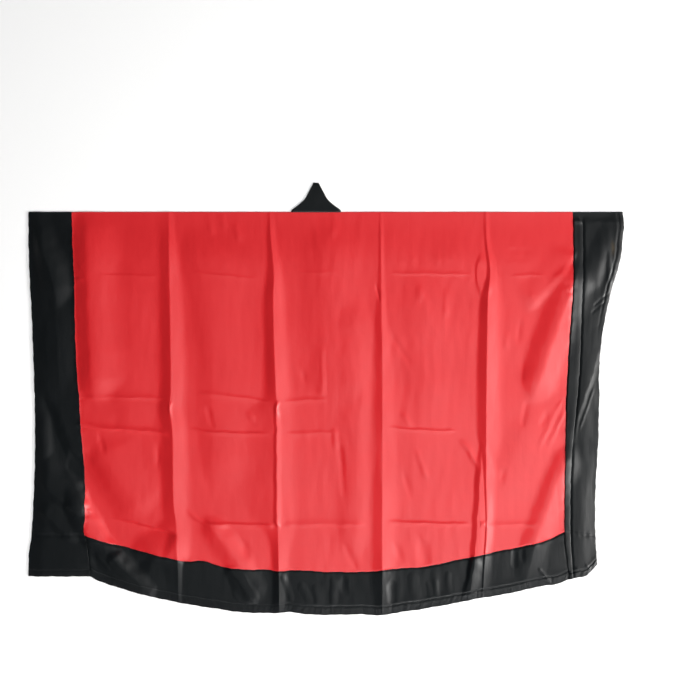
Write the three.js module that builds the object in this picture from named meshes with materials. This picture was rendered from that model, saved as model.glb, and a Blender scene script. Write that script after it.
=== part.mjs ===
// A Taoist priest's ceremonial robe, laid flat on its front with the back uppermost.
//
// It is a wide open-fronted robe: with the arms spread it makes a near rectangle, because the sleeves
// are as long as the body. The body is red satin. Black satin bands edge both sleeve mouths and the
// hem, and one straight black collar band runs up one front edge, round the nape and down the other.
// Each front turns over the shoulder and is sewn to the back just behind the fold. The cloth keeps the
// upright creases it was packed with, soft slanting folds at both sides, and a pleat that has formed in
// the right cuff band.
//
// Millimetres. +X is the wearer's right, +Y runs from the hem to the collar, +Z is up from the surface.
// The origin is the middle of the robe's outline, on the surface it lies on.

import * as THREE from 'three';

// Cloth

const CLOTH = 1.5; // thickness of a wall of cloth
const SEAM_GAP = 0.3; // between two pieces sewn edge to edge
const LAYER_GAP = 0.5; // between the front of the robe and the back that lies on it
const FRONT_LEVEL = CLOTH / 2; // middle of the front's cloth, above the surface
const BACK_LEVEL = FRONT_LEVEL + CLOTH + LAYER_GAP; // middle of the back's cloth
const TURN_RADIUS = (BACK_LEVEL - FRONT_LEVEL) / 2; // of the middle of the cloth where it doubles back
const TURN_STEPS = 6; // flats in a half turn of the cloth

// Lengths down the robe, measured from the shoulder fold

const SEAM_TO_HEM_BAND = 1032; // along a side seam, down to the hem band
const CUFF_LENGTH = 1165; // along a side seam, down to the lower end of the cuff bands
const HEM_DROP = 118; // how much lower the hem is in the middle than at the side seams
const HEM_TILT = 9; // how much lower the hem is at the right side seam than at the left
const HEM_MIDDLE_X = 3;
const HEM_HALF_WIDTH = 768;
const HEM_FULLNESS = { left: 2.4, right: 1.8 }; // 2 is a parabola, more is squarer
const STRAIGHT_DOWN = 860; // above this the cross-sections run straight across
const SHOULDER_SEAM = TURN_RADIUS + CLOTH / 2; // from the shoulder fold down to the seam with the back

// Outline and side seams: one row for each cross-section, at this length down the side seams

const SECTIONS = [
  { down: 0, leftEdge: -949, leftSeam: -811, rightSeam: 795, pleatEdge: 821, rightEdge: 949 },
  { down: 140, leftEdge: -949, leftSeam: -808, rightSeam: 796, pleatEdge: 821, rightEdge: 943 },
  { down: 270, leftEdge: -946, leftSeam: -804, rightSeam: 792, pleatEdge: 818, rightEdge: 905 },
  { down: 400, leftEdge: -939, leftSeam: -798, rightSeam: 783, pleatEdge: 814, rightEdge: 882 },
  { down: 530, leftEdge: -934, leftSeam: -792, rightSeam: 775, pleatEdge: 808, rightEdge: 873 },
  { down: 780, leftEdge: -934, leftSeam: -779, rightSeam: 768, pleatEdge: 789, rightEdge: 868 },
  { down: 900, leftEdge: -936, leftSeam: -771, rightSeam: 766, pleatEdge: 787, rightEdge: 862 },
  { down: 1032, leftEdge: -941, leftSeam: -763, rightSeam: 766, pleatEdge: 787, rightEdge: 861 },
  { down: 1100, leftEdge: -949, leftSeam: -757, rightSeam: 771, pleatEdge: 790, rightEdge: 864 },
  { down: 1165, leftEdge: -949, leftSeam: -750, rightSeam: 779, pleatEdge: 796, rightEdge: 868 },
];
const SECTION_STEP = 80; // the most between two cross-sections of a piece

// Upright creases of the packed robe, which run from the shoulder to the hem

const CREASES = [
  { shoulderX: -496, hemX: -473, height: 12, leftReach: 72, rightReach: 92 },
  { shoulderX: -176, hemX: -145, height: 11, leftReach: 58, rightReach: 96 },
  { shoulderX: 178, hemX: 182, height: 12, leftReach: 66, rightReach: 78 },
  { shoulderX: 514, hemX: 516, height: 12, leftReach: 74, rightReach: 70 },
];
const CREASE_AT_SHOULDER = 0.25; // share of a crease's height that is left at the shoulder fold
const CREASE_RISE = 320; // length down the robe over which a crease reaches its height
const CREASE_MARKS = [1, 0.38]; // where a crease's flanks are divided, as shares of their reach

// Slanting and local folds, from their upper end to their lower end

const FOLDS = [
  { fromX: -772, fromDown: 800, toX: -600, toDown: 1120, height: 10, leftReach: 60, rightReach: 70 },
  { fromX: 806, fromDown: 100, toX: 640, toDown: 760, height: 10, leftReach: 44, rightReach: 80 },
  { fromX: 772, fromDown: 700, toX: 664, toDown: 1150, height: 8, leftReach: 50, rightReach: 60 },
  { fromX: 500, fromDown: 700, toX: 462, toDown: 1300, height: 7, leftReach: 26, rightReach: 26 },
  { fromX: 128, fromDown: 420, toX: 92, toDown: 1300, height: 5, leftReach: 44, rightReach: 30 },
  { fromX: -930, fromDown: -60, toX: -812, toDown: 380, height: 6, leftReach: 48, rightReach: 52 },
  { fromX: -944, fromDown: 520, toX: -772, toDown: 1010, height: 7, leftReach: 50, rightReach: 40 },
  { fromX: 936, fromDown: 10, toX: 830, toDown: 330, height: 6, leftReach: 50, rightReach: 34 },
];
const FOLD_FADE = 140; // length down the robe over which a fold rises, and over which it dies

// Collar band: one strip, folded over at each side of the neck

const NECK_X = -30; // middle of the neck and of the front opening
const NECK_HALF = 80; // half the width of the neck, along the shoulder fold
const COLLAR_WIDTH = 90; // so the front edges spread from the neck to this, over the next length
const COLLAR_SPREAD = 140;
const COLLAR_RISE = 93; // how far the band stands above the shoulder fold at the nape
const COLLAR_TIP_HALF = 8; // half the width of its blunt tip
const COLLAR_SHARES = [0, 1 / 3, 2 / 3, 1]; // where it is divided, from its sewn to its free edge
const NAPE_STEPS = 6;

// Pleat in the right cuff band

const PLEAT_RADIUS = (CLOTH + LAYER_GAP) / 2; // of the middle of the cloth at both its turns
const PLEAT_TUCK = 9; // how far the cloth goes back under the pleat's edge
const PLEAT_FORMS_BY = 220; // length down the robe by which the pleat has folded right over
const RIGHT_CUFF_CORNER = { width: 34, cut: 22, slope: 0.28 }; // slanting lower end of the right cuff band

const RED_SATIN = new THREE.MeshStandardMaterial({ color: 0xd93236, roughness: 0.5, metalness: 0 });
const BLACK_SATIN = new THREE.MeshStandardMaterial({ color: 0x24272a, roughness: 0.45, metalness: 0 });

const { clamp, lerp, smoothstep } = THREE.MathUtils;

// The value of a column of SECTIONS at a length down the side seams, on a smooth curve through its rows.
function sectionValue(column, down) {
  const at = clamp(down, SECTIONS[0].down, SECTIONS.at(-1).down);
  const next = Math.max(1, SECTIONS.findIndex((row) => row.down >= at));
  const row = (index) => SECTIONS[clamp(index, 0, SECTIONS.length - 1)];
  const [a, b] = [row(next - 1), row(next)];
  const slope = (before, after) => (after[column] - before[column]) / (after.down - before.down);
  const span = b.down - a.down;
  const t = (at - a.down) / span;
  const startSlope = slope(row(next - 2), b) * span;
  const endSlope = slope(a, row(next + 1)) * span;
  return (
    a[column] * (2 * t ** 3 - 3 * t ** 2 + 1) + startSlope * (t ** 3 - 2 * t ** 2 + t)
    + b[column] * (3 * t ** 2 - 2 * t ** 3) + endSlope * (t ** 3 - t ** 2)
  );
}

// Share of HEM_DROP at x: 0 at the side seams and beyond them, 1 in the middle.
function hemShape(x) {
  const aside = clamp((x - HEM_MIDDLE_X) / HEM_HALF_WIDTH, -1, 1);
  return 1 - Math.abs(aside) ** (aside < 0 ? HEM_FULLNESS.left : HEM_FULLNESS.right);
}

// Length down from the shoulder fold to the seam between the body and the hem band.
function hemSeamDown(x) {
  return SEAM_TO_HEM_BAND + HEM_DROP * hemShape(x);
}

// Length down from the shoulder fold to the robe's lower edge.
function hemEdgeDown(x) {
  const tilt = HEM_TILT * clamp((x - HEM_MIDDLE_X) / HEM_HALF_WIDTH / 2 + 0.5, 0, 1);
  const outside = Math.max(0, x - sectionValue('rightSeam', CUFF_LENGTH));
  const corner = Math.max(0, x - (sectionValue('rightEdge', CUFF_LENGTH) - RIGHT_CUFF_CORNER.width));
  const cut = (corner / RIGHT_CUFF_CORNER.width) * RIGHT_CUFF_CORNER.cut;
  return CUFF_LENGTH + HEM_DROP * hemShape(x) + tilt - outside * RIGHT_CUFF_CORNER.slope - cut;
}

// Length down the robe at x of the cross-section that lies `down` along the side seams.
function downAt(x, down) {
  if (down <= STRAIGHT_DOWN) return down;
  if (down <= SEAM_TO_HEM_BAND) {
    return lerp(STRAIGHT_DOWN, hemSeamDown(x), (down - STRAIGHT_DOWN) / (SEAM_TO_HEM_BAND - STRAIGHT_DOWN));
  }
  return lerp(hemSeamDown(x), hemEdgeDown(x), (down - SEAM_TO_HEM_BAND) / (CUFF_LENGTH - SEAM_TO_HEM_BAND));
}

function creaseX(crease, down) {
  return lerp(crease.shoulderX, crease.hemX, down / CUFF_LENGTH);
}

// Height of a ridge that comes to an edge at its line and runs out flat at its reach.
function ridge(fold, aside) {
  const share = aside < 0 ? -aside / fold.leftReach : aside / fold.rightReach;
  return share < 1 ? fold.height * (1 - share) ** 2 : 0;
}

// How high the packed creases and the folds lift the cloth off the surface.
function lift(x, down) {
  const creases = CREASES.map((crease) => {
    const share = lerp(CREASE_AT_SHOULDER, 1, smoothstep(down, 0, CREASE_RISE));
    return share * ridge(crease, x - creaseX(crease, down));
  });
  const folds = FOLDS.map((fold) => {
    const along = (down - fold.fromDown) / (fold.toDown - fold.fromDown);
    const fade = smoothstep(down, fold.fromDown, fold.fromDown + FOLD_FADE)
      * (1 - smoothstep(down, fold.toDown - FOLD_FADE, fold.toDown));
    return fade * ridge(fold, x - lerp(fold.fromX, fold.toX, along));
  });
  return [...creases, ...folds].reduce((sum, height) => sum + height, 0);
}

// A point of the middle of the cloth, given as if pressed flat, with the way its outer face looks, both
// lifted onto the creases and folds.
function station(x, down, level, face) {
  const step = 0.5;
  const slopeX = (lift(x + step, down) - lift(x - step, down)) / (2 * step);
  const slopeY = (lift(x, down - step) - lift(x, down + step)) / (2 * step);
  return {
    point: new THREE.Vector3(x, -down, level + lift(x, down)),
    face: new THREE.Vector3(face.x - slopeX * face.z, face.y - slopeY * face.z, face.z).normalize(),
  };
}

// A closed wall of cloth through a grid of stations. Seen from outside, its columns run from left to
// right where its rows follow one another downwards, or from right to left if it is mirrored.
function clothWall(grid, mirrored = false) {
  const [rows, columns] = [grid.length, grid[0].length];
  const positions = [];
  for (const side of [CLOTH / 2, -CLOTH / 2]) {
    for (const { point, face } of grid.flat()) {
      positions.push(...point.clone().addScaledVector(face, side).toArray());
    }
  }
  const outer = (row, column) => row * columns + column;
  const inner = (row, column) => rows * columns + outer(row, column);
  const triangles = [];
  const quad = (a, b, c, d) => triangles.push(a, b, c, a, c, d);
  for (let row = 0; row < rows - 1; row++) {
    for (let column = 0; column < columns - 1; column++) {
      quad(outer(row, column), outer(row + 1, column), outer(row + 1, column + 1), outer(row, column + 1));
      quad(inner(row, column), inner(row, column + 1), inner(row + 1, column + 1), inner(row + 1, column));
    }
    const last = columns - 1;
    quad(outer(row, 0), inner(row, 0), inner(row + 1, 0), outer(row + 1, 0));
    quad(outer(row, last), outer(row + 1, last), inner(row + 1, last), inner(row, last));
  }
  for (let column = 0; column < columns - 1; column++) {
    const last = rows - 1;
    quad(outer(0, column), outer(0, column + 1), inner(0, column + 1), inner(0, column));
    quad(outer(last, column), inner(last, column), inner(last, column + 1), outer(last, column + 1));
  }
  const geometry = new THREE.BufferGeometry();
  geometry.setAttribute('position', new THREE.Float32BufferAttribute(positions, 3));
  geometry.setIndex(mirrored ? triangles.toReversed() : triangles);
  geometry.computeVertexNormals();
  return geometry;
}

// Cross-sections from one length down to another, evenly spaced; `shift` moves an end off its seam.
function crossSections(from, to, shift = {}) {
  const steps = Math.ceil((to - from) / SECTION_STEP);
  return Array.from({ length: steps + 1 }, (_, index) => ({
    down: lerp(from, to, index / steps),
    shift: index === 0 ? shift.from ?? 0 : index === steps ? shift.to ?? 0 : 0,
  }));
}

const UPPER_SECTIONS = crossSections(0, STRAIGHT_DOWN, { from: SHOULDER_SEAM + SEAM_GAP });
const BODY_SECTIONS = [
  ...UPPER_SECTIONS,
  ...crossSections(STRAIGHT_DOWN, SEAM_TO_HEM_BAND, { to: -SEAM_GAP / 2 }).slice(1),
];
const HEM_SECTIONS = crossSections(SEAM_TO_HEM_BAND, CUFF_LENGTH, { from: SEAM_GAP / 2 });
const CUFF_SECTIONS = [
  ...UPPER_SECTIONS,
  ...crossSections(STRAIGHT_DOWN, SEAM_TO_HEM_BAND).slice(1),
  ...crossSections(SEAM_TO_HEM_BAND, CUFF_LENGTH).slice(1),
];

// A column of a grid is x as a function of the length down the robe. The back and the front that lies
// under it share their columns, so that their folds nest.

const sideLine = (name, offset = 0) => (down) => sectionValue(name, down) + offset;
const between = (left, right, share) => (down) => lerp(left(down), right(down), share);

// From the middle of the front opening to where the collar band is sewn to a front.
const frontHalf = (down) => lerp(NECK_HALF, COLLAR_WIDTH, smoothstep(down, 0, COLLAR_SPREAD));
const collarLine = (side, share, offset = 0) => (down) =>
  NECK_X + side * (lerp(frontHalf(down), 0, share) + offset);

// Columns between two lines: the creases with their divided flanks, and the middle of each wide flat
// stretch.
function foldColumns(left, right) {
  const clear = 12; // the least between two columns
  const widest = 80; // the most between two columns
  const ends = [0, CUFF_LENGTH];
  const apart = (a, b) => Math.min(...ends.map((down) => b(down) - a(down)));
  const lines = CREASES.flatMap((crease) => [
    ...CREASE_MARKS.map((share) => (down) => creaseX(crease, down) - share * crease.leftReach),
    (down) => creaseX(crease, down),
    ...CREASE_MARKS.toReversed().map((share) => (down) => creaseX(crease, down) + share * crease.rightReach),
  ]).filter((line) => apart(left, line) > clear && apart(line, right) > clear);
  const columns = [left];
  for (const line of [...lines, right]) {
    const before = columns.at(-1);
    const steps = Math.ceil(apart(before, line) / widest);
    for (let index = 1; index < steps; index++) columns.push(between(before, line, index / steps));
    columns.push(line);
  }
  return columns;
}

const LEFT_COLUMNS = foldColumns(sideLine('leftSeam', SEAM_GAP / 2), collarLine(-1, 0, SEAM_GAP));
const RIGHT_COLUMNS = foldColumns(collarLine(1, 0, SEAM_GAP), sideLine('rightSeam', -SEAM_GAP / 2));
const BACK_COLUMNS = [
  ...LEFT_COLUMNS,
  ...COLLAR_SHARES.slice(1).map((share) => collarLine(-1, share)),
  ...COLLAR_SHARES.slice(1, -1).toReversed().map((share) => collarLine(1, share)),
  ...RIGHT_COLUMNS,
];
const LEFT_CUFF_COLUMNS = [0, 0.2, 0.4, 0.6, 0.8, 1].map((share) =>
  between(sideLine('leftEdge'), sideLine('leftSeam', -SEAM_GAP / 2), share));

// Where the right cuff band comes out from under its pleat, and the columns from there to its edge.
const pleatFoot = sideLine('pleatEdge', -PLEAT_RADIUS - CLOTH / 2 - PLEAT_TUCK);
const PLEAT_OUTSIDE = [1 / 3, 2 / 3, 1].map((share) => between(pleatFoot, sideLine('rightEdge'), share));
const rightCuffSeam = sideLine('rightSeam', SEAM_GAP / 2);
const RIGHT_CUFF_COLUMNS = [rightCuffSeam, pleatFoot, ...PLEAT_OUTSIDE];

// One row of stations across a piece that lies flat.
function lyingRow(columns, { down, shift }, level, face) {
  return columns.map((column) => {
    const length = downAt(column(down), down);
    return station(column(length), length + shift, level, face);
  });
}

// A piece of the back: a wall of cloth with its outer face up.
function backPiece(columns, sections) {
  const up = new THREE.Vector3(0, 0, 1);
  return clothWall(sections.map((section) => lyingRow(columns, section, BACK_LEVEL, up)));
}

// A piece of the front: it lies under the back with its outer face down. One that reaches the shoulder
// starts with a half turn, from its seam with the back to the front's level.
function frontPiece(columns, sections) {
  const downwards = new THREE.Vector3(0, 0, -1);
  const atShoulder = sections[0].down === 0;
  const turn = Array.from({ length: atShoulder ? TURN_STEPS + 1 : 0 }, (_, index) => {
    const angle = lerp(Math.PI / 2, -Math.PI / 2, index / TURN_STEPS);
    const face = new THREE.Vector3(0, Math.cos(angle), Math.sin(angle));
    const down = SHOULDER_SEAM - TURN_RADIUS * Math.cos(angle);
    const level = FRONT_LEVEL + TURN_RADIUS * (1 + Math.sin(angle));
    return columns.map((column) => station(column(0), down, level, face));
  });
  const lying = sections.slice(atShoulder ? 1 : 0).map((section) =>
    lyingRow(columns, section, FRONT_LEVEL, downwards));
  return clothWall([...turn, ...lying], true);
}

// One cross-section of the right cuff band, seam to edge, as points across (x, height) with the way
// they face. The cloth runs out to the pleat's edge, turns back under itself, and turns again to run on
// to the band's edge.
function pleatedSection(down) {
  const turn = Math.PI * smoothstep(down, 0, PLEAT_FORMS_BY);
  const tuck = PLEAT_TUCK * smoothstep(turn, Math.PI / 2, Math.PI);
  const height = 2 * PLEAT_RADIUS * (1 - Math.cos(turn)) + tuck * Math.sin(turn);
  const lowerTurn = pleatFoot(down);
  const upperTurn = lowerTurn - 2 * PLEAT_RADIUS * Math.sin(turn) - tuck * Math.cos(turn);
  const strip = [0, 0.5, 0.8].map((share) => (
    { x: lerp(rightCuffSeam(down), lowerTurn - 2, share), z: height * smoothstep(share, 0, 0.8), facing: 0 }));
  const angles = Array.from({ length: TURN_STEPS + 1 }, (_, index) => (turn * index) / TURN_STEPS);
  const upper = angles.map((angle) => ({
    x: upperTurn + PLEAT_RADIUS * Math.sin(angle),
    z: height - PLEAT_RADIUS * (1 - Math.cos(angle)),
    facing: angle,
  }));
  const lower = angles.toReversed().map((angle) => ({
    x: lowerTurn - PLEAT_RADIUS * Math.sin(angle),
    z: PLEAT_RADIUS * (1 - Math.cos(angle)),
    facing: angle,
  }));
  const outside = PLEAT_OUTSIDE.map((column) => ({ x: column(down), z: 0, facing: 0 }));
  return [...strip, ...upper, ...lower, ...outside];
}

function pleatedCuffBand() {
  return clothWall(CUFF_SECTIONS.map(({ down, shift }) =>
    pleatedSection(downAt(rightCuffSeam(down), down)).map(({ x, z, facing }) => {
      const face = new THREE.Vector3(Math.sin(facing), 0, Math.cos(facing));
      return station(x, downAt(x, down) + shift, BACK_LEVEL + z, face);
    })));
}

// The collar band, in rows across it from the edge sewn to the robe to its free edge. Its two limbs lie
// on the fronts' level with their outer face down, and it folds over at each side of the neck to lie
// face up at the nape.
function collarBand() {
  const inset = TURN_RADIUS + CLOTH / 2; // from the silhouette of a fold in to where the turn starts
  const slant = new THREE.Vector2(COLLAR_TIP_HALF - NECK_HALF, COLLAR_RISE).normalize();
  const outward = new THREE.Vector2(slant.y, -slant.x);
  const foot = { x: NECK_HALF - inset * outward.x, down: SHOULDER_SEAM };
  const tip = { x: COLLAR_TIP_HALF - inset * outward.x, down: inset * outward.y - COLLAR_RISE };
  const up = new THREE.Vector3(0, 0, 1);
  const downwards = new THREE.Vector3(0, 0, -1);

  const across = (sewn, free, level, face) =>
    COLLAR_SHARES.map((share) =>
      station(NECK_X + lerp(sewn.x, free.x, share), lerp(sewn.down, free.down, share), level, face));

  const limb = (side) => {
    const free = (side * SEAM_GAP) / 2;
    const top = { sewn: { x: side * NECK_HALF, down: 12 }, free: { x: free, down: 0 } };
    const middle = {
      sewn: { x: side * lerp(foot.x, NECK_HALF, 0.5), down: lerp(foot.down, top.sewn.down, 0.5) },
      free: { x: lerp(side * tip.x, free, 0.5), down: tip.down / 2 },
    };
    const upper = [middle, top].map((line) => across(line.sewn, line.free, FRONT_LEVEL, downwards));
    const columns = COLLAR_SHARES.map((share) => collarLine(side, share, share === 1 ? SEAM_GAP / 2 : 0));
    const lower = [...BODY_SECTIONS.slice(1), ...HEM_SECTIONS.slice(1)].map(({ down }) =>
      lyingRow(columns, { down, shift: 0 }, FRONT_LEVEL, downwards));
    return [...upper, ...lower];
  };

  const turnOver = (side) =>
    Array.from({ length: TURN_STEPS + 1 }, (_, index) => {
      const angle = lerp(-Math.PI / 2, Math.PI / 2, index / TURN_STEPS);
      const [out, rise] = [Math.cos(angle), Math.sin(angle)];
      const moved = ({ x, down }) => (
        { x: side * (x + out * TURN_RADIUS * outward.x), down: down - out * TURN_RADIUS * outward.y });
      const face = new THREE.Vector3(side * outward.x * out, outward.y * out, rise);
      return across(moved(foot), moved(tip), FRONT_LEVEL + TURN_RADIUS * (1 + rise), face);
    });

  const nape = Array.from({ length: NAPE_STEPS - 1 }, (_, index) => {
    const aside = lerp(-1, 1, (index + 1) / NAPE_STEPS);
    return across({ ...foot, x: aside * foot.x }, { ...tip, x: aside * tip.x }, BACK_LEVEL, up);
  });

  return clothWall([
    ...limb(-1).reverse(), ...turnOver(-1), ...nape, ...turnOver(1).reverse(), ...limb(1),
  ]);
}

const PIECES = {
  back_panel: { cloth: RED_SATIN, wall: backPiece(BACK_COLUMNS, BODY_SECTIONS) },
  back_hem_band: { cloth: BLACK_SATIN, wall: backPiece(BACK_COLUMNS, HEM_SECTIONS) },
  back_cuff_band_left: { cloth: BLACK_SATIN, wall: backPiece(LEFT_CUFF_COLUMNS, CUFF_SECTIONS) },
  back_cuff_band_right: { cloth: BLACK_SATIN, wall: pleatedCuffBand() },
  front_panel_left: { cloth: RED_SATIN, wall: frontPiece(LEFT_COLUMNS, BODY_SECTIONS) },
  front_panel_right: { cloth: RED_SATIN, wall: frontPiece(RIGHT_COLUMNS, BODY_SECTIONS) },
  front_hem_band_left: { cloth: BLACK_SATIN, wall: frontPiece(LEFT_COLUMNS, HEM_SECTIONS) },
  front_hem_band_right: { cloth: BLACK_SATIN, wall: frontPiece(RIGHT_COLUMNS, HEM_SECTIONS) },
  front_cuff_band_left: { cloth: BLACK_SATIN, wall: frontPiece(LEFT_CUFF_COLUMNS, CUFF_SECTIONS) },
  front_cuff_band_right: { cloth: BLACK_SATIN, wall: frontPiece(RIGHT_CUFF_COLUMNS, CUFF_SECTIONS) },
  collar_band: { cloth: BLACK_SATIN, wall: collarBand() },
};

const robe = new THREE.Group();
for (const [name, { cloth, wall }] of Object.entries(PIECES)) {
  const piece = new THREE.Mesh(wall, cloth);
  piece.name = name;
  robe.add(piece);
}

// Moves the robe so that the origin is the middle of its outline.
const outline = new THREE.Box3().setFromObject(robe);
const middle = outline.getCenter(new THREE.Vector3());
robe.position.set(-middle.x, -middle.y, -outline.min.z);

export default robe;
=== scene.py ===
import bpy
import numpy as np
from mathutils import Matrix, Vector


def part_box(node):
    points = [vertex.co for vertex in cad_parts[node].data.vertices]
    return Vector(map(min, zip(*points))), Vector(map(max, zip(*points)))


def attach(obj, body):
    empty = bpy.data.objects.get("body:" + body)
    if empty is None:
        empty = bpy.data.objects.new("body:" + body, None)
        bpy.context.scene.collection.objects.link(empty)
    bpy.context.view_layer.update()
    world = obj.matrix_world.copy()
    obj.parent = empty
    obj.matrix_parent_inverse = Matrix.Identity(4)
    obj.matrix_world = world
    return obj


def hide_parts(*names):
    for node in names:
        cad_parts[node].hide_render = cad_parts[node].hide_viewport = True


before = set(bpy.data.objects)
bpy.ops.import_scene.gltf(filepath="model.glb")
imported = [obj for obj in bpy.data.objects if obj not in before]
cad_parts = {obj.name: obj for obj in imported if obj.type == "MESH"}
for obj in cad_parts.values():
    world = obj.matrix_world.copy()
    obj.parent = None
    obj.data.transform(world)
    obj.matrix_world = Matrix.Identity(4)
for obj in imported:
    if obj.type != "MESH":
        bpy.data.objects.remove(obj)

scene = bpy.context.scene
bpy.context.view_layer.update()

# ---------------------------------------------------------------------------------------------
# Back panel. One wide width of red satin, with the sleeves cut in one with the body, so it is
# nearly a rectangle with a curved lower edge. It keeps four upright creases from lying packed,
# fainter creases across them, and the slanting folds of a cloth that was shaken out by hand.

# x runs across the robe from its middle, and down is the length from the fold at the shoulders.
SHOULDER_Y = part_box("front_cuff_band_left")[1][1]

# columns: length down a side seam, then x of each line there
OUTLINE_ROWS = [
    (0.000, -0.949, -0.811, 0.791, 0.821, 0.949),
    (0.140, -0.949, -0.808, 0.791, 0.821, 0.943),
    (0.270, -0.946, -0.804, 0.787, 0.818, 0.905),
    (0.400, -0.939, -0.798, 0.778, 0.814, 0.882),
    (0.530, -0.934, -0.792, 0.772, 0.808, 0.873),
    (0.780, -0.934, -0.779, 0.764, 0.785, 0.868),
    (0.900, -0.936, -0.771, 0.763, 0.781, 0.862),
    (1.032, -0.941, -0.763, 0.763, 0.781, 0.861),
    (1.100, -0.949, -0.757, 0.770, 0.785, 0.864),
    (1.165, -0.949, -0.750, 0.779, 0.790, 0.868),
]
OUTLINE = dict(zip(
    ("down", "left edge", "left seam", "right seam", "pleat edge", "right edge"),
    np.array(OUTLINE_ROWS).T))

# Where the soft cloth strays from those even lines, in bell-shaped swerves to the right, or down.
# columns: place along the line, half width, size
STRAYS = {
    "left edge": [(0.30, 0.14, 0.004), (0.75, 0.25, 0.006)],
    "left seam": [(0.22, 0.11, 0.0045), (0.60, 0.05, 0.002), (0.80, 0.14, 0.0055),
                  (1.02, 0.03, -0.006)],
    "right seam": [(0.60, 0.05, -0.002)],
    "pleat edge": [],
    "right edge": [(0.04, 0.04, 0.005), (0.29, 0.09, 0.003), (0.60, 0.05, 0.004),
                   (0.71, 0.05, 0.003), (1.05, 0.06, 0.0015)],
    "hem seam": [(-0.72, 0.04, 0.003), (-0.58, 0.07, -0.002), (-0.50, 0.03, -0.002),
                 (-0.39, 0.035, -0.012), (-0.20, 0.03, -0.003), (-0.08, 0.05, -0.005),
                 (0.13, 0.07, 0.004), (0.32, 0.08, 0.007), (0.55, 0.03, -0.002),
                 (0.765, 0.035, -0.012)],
    "hem edge": [(-0.75, 0.012, -0.006), (-0.27, 0.05, 0.003), (-0.115, 0.045, -0.007),
                 (0.18, 0.05, 0.0075), (0.28, 0.06, 0.003), (0.48, 0.06, -0.0035),
                 (0.735, 0.03, 0.0065), (0.83, 0.03, 0.003)],
}

SEAM_TO_HEM_BAND = 1.032     # along a side seam
CUFF_LENGTH = 1.165          # along a side seam, to the lower end of the cuff bands
HEM_DROP = 0.118             # how much lower the hem is in the middle than at the sides
HEM_TILT = 0.009             # how much lower the right end of the hem is than the left
HEM_MIDDLE, HEM_HALF = 0.003, 0.768
HEM_FULLNESS_LEFT, HEM_FULLNESS_RIGHT = 2.4, 1.8
STRAIGHT_DOWN = 0.860        # above this the rows of a piece run straight across
CORNER_WIDTH, CORNER_CUT, CORNER_SLOPE = 0.034, 0.022, 0.28  # of the right cuff's lower end
SEAM_GAP = 0.0002            # between two pieces that are sewn together

CLOTH = 0.0008               # thickness of the cloth
EDGE_ROUND = 0.0003          # how far in from its edge the cloth rounds over
FRONT_LEVEL = 0.0009         # middle of the front's cloth, which lies underneath
BACK_LEVEL = 0.0031          # middle of the back's cloth
TURN_RADIUS = (BACK_LEVEL - FRONT_LEVEL) / 2
SHOULDER_SEAM = TURN_RADIUS + CLOTH / 2   # from the shoulder fold to the seam just behind it


def smoothstep(value, start, end):
    """0 before start, 1 after end, and 3t² - 2t³ between them."""
    t = np.clip((value - start) / (end - start), 0.0, 1.0)
    return t * t * (3.0 - 2.0 * t)


def stray(name, place):
    """How far a line of the outline strays: the sum of its swerves, and a fine unevenness."""
    place = np.asarray(place, float)
    fine = 0.0005 * np.sin(place * 83.0 + len(name)) + 0.0004 * np.sin(place * 191.0 + len(name))
    return fine + sum(size * np.exp(-((place - where) / width) ** 2)
                      for where, width, size in STRAYS[name])


def line_at(name, down):
    """x of a line of the outline: a cubic through its rows, whose slope at each row is that from
    the row before it to the row after it, and its strays."""
    rows, values = OUTLINE["down"], OUTLINE[name]
    slopes = np.gradient(values, rows)
    slopes[1:-1] = (values[2:] - values[:-2]) / (rows[2:] - rows[:-2])
    at = np.clip(down, rows[0], rows[-1])
    i = np.clip(np.searchsorted(rows, at, side="left") - 1, 0, len(rows) - 2)
    span = rows[i + 1] - rows[i]
    t = (at - rows[i]) / span
    return (values[i] * (2 * t**3 - 3 * t**2 + 1) + slopes[i] * span * (t**3 - 2 * t**2 + t)
            + values[i + 1] * (3 * t**2 - 2 * t**3) + slopes[i + 1] * span * (t**3 - t**2)
            + stray(name, down))


def hem_shape(x):
    """1 in the middle of the hem and 0 at its ends: 1 less the share of the way out, to a power."""
    aside = np.clip((x - HEM_MIDDLE) / HEM_HALF, -1.0, 1.0)
    power = np.where(aside < 0.0, HEM_FULLNESS_LEFT, HEM_FULLNESS_RIGHT)
    return 1.0 - np.abs(aside) ** power


def hem_seam(x):
    """Length down to the seam between the body and the hem band."""
    return SEAM_TO_HEM_BAND + HEM_DROP * hem_shape(x) + stray("hem seam", x)


def hem_edge(x):
    """Length down to the robe's lower edge, with the slanting end of the right cuff band."""
    tilt = HEM_TILT * np.clip((x - HEM_MIDDLE) / HEM_HALF / 2 + 0.5, 0.0, 1.0)
    outside = np.maximum(0.0, x - OUTLINE["right seam"][-1])
    corner = np.maximum(0.0, x - OUTLINE["right edge"][-1] + CORNER_WIDTH)
    cut = outside * CORNER_SLOPE + corner * CORNER_CUT / CORNER_WIDTH
    return CUFF_LENGTH + HEM_DROP * hem_shape(x) + tilt - cut + stray("hem edge", x)


def length_at(x, down):
    """Length down the robe at x of the row that lies `down` along the side seams."""
    to_seam = (down - STRAIGHT_DOWN) / (SEAM_TO_HEM_BAND - STRAIGHT_DOWN)
    to_edge = (down - SEAM_TO_HEM_BAND) / (CUFF_LENGTH - SEAM_TO_HEM_BAND)
    bending = STRAIGHT_DOWN + (hem_seam(x) - STRAIGHT_DOWN) * to_seam
    band = hem_seam(x) + (hem_edge(x) - hem_seam(x)) * to_edge
    return np.where(down <= STRAIGHT_DOWN, down, np.where(down <= SEAM_TO_HEM_BAND, bending, band))


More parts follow.
